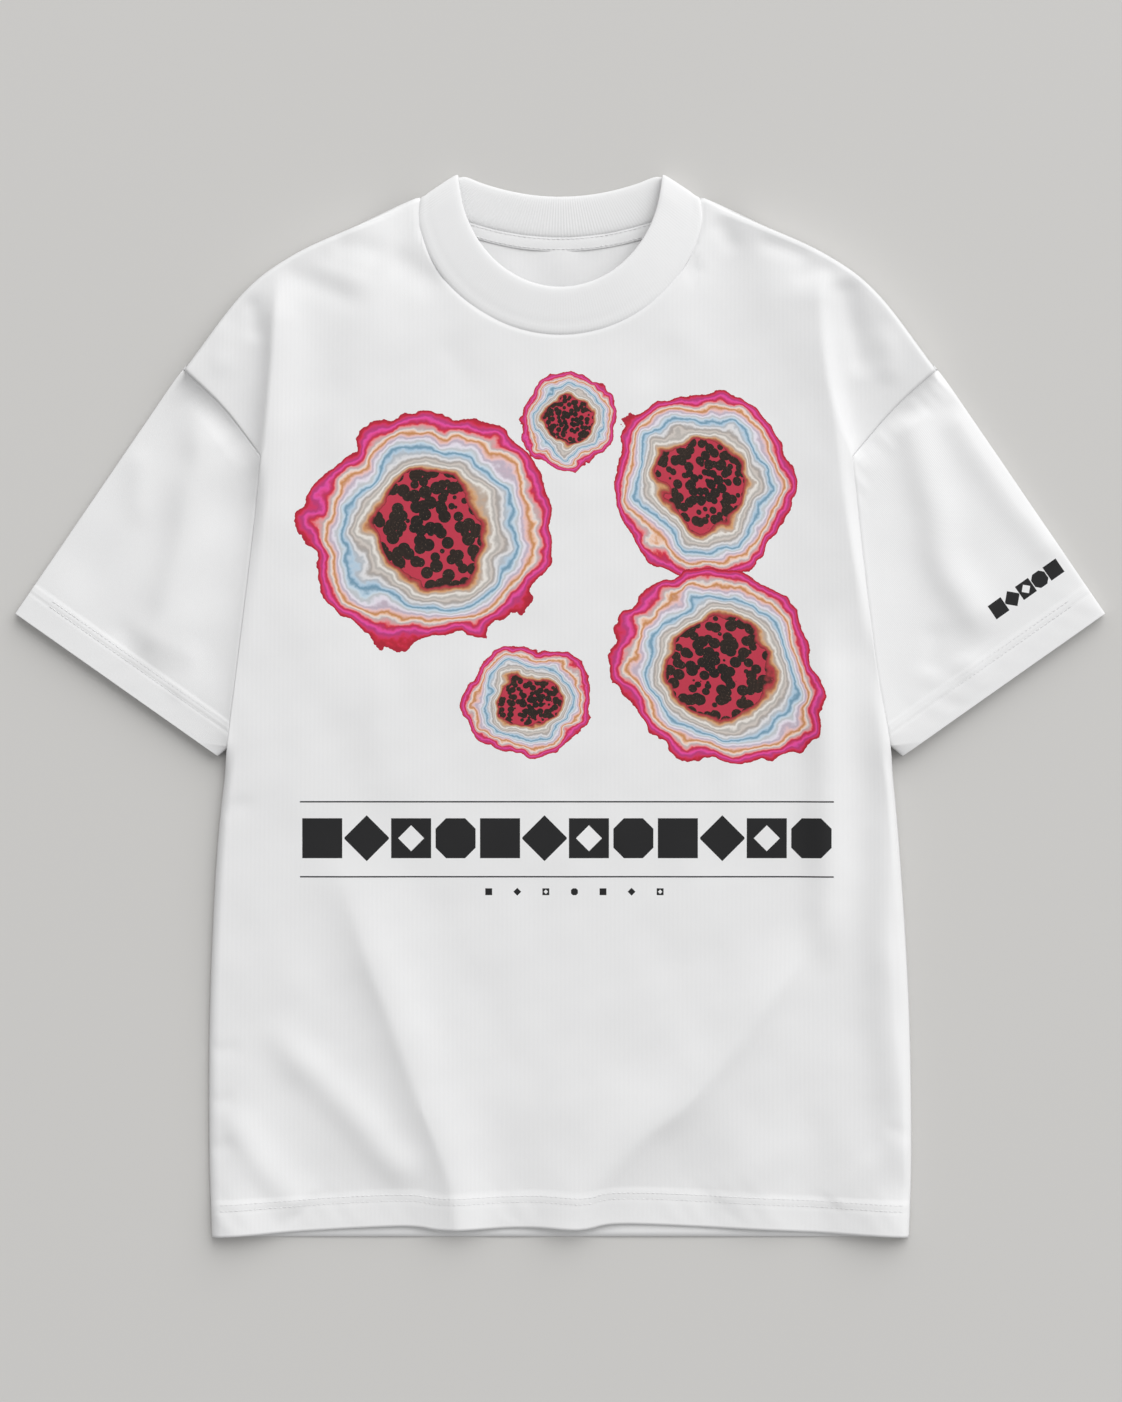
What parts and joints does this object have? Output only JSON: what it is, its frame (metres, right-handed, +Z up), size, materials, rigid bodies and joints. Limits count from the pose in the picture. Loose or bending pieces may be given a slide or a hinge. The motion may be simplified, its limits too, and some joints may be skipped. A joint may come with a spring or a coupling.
{
  "type": "crew neck t-shirt",
  "caption": "Oversized, drop-shouldered short-sleeved t-shirt with a ribbed crew neck, laid out flat on its back with the chest side up.",
  "frame": {"origin": "on the ground, under the middle of the shirt", "axes": "+Z up from the ground through the chest, +Y from the hem to the collar, +X to the right of someone who looks down on the chest"},
  "size_m": [0.764, 0.7448, 0.0188],
  "materials": {
    "jersey": null,
    "rib": "white one by one rib knit, matt",
    "tape": "white twill neck tape, matt",
    "thread": "white sewing thread, slightly lustrous"
  },
  "bodies": {
    "root": {"front_panel": "jersey", "back_panel": "jersey", "left_sleeve": "jersey", "right_sleeve": "jersey", "neck_rib": "rib", "neck_tape": "tape", "hem_stitch_row_1": "thread", "hem_stitch_row_2": "thread", "left_cuff_stitch_row_1": "thread", "left_cuff_stitch_row_2": "thread", "right_cuff_stitch_row_1": "thread", "right_cuff_stitch_row_2": "thread", "tape_stitch_row_1": "thread", "tape_stitch_row_2": "thread"}
  },
  "joints": []
}
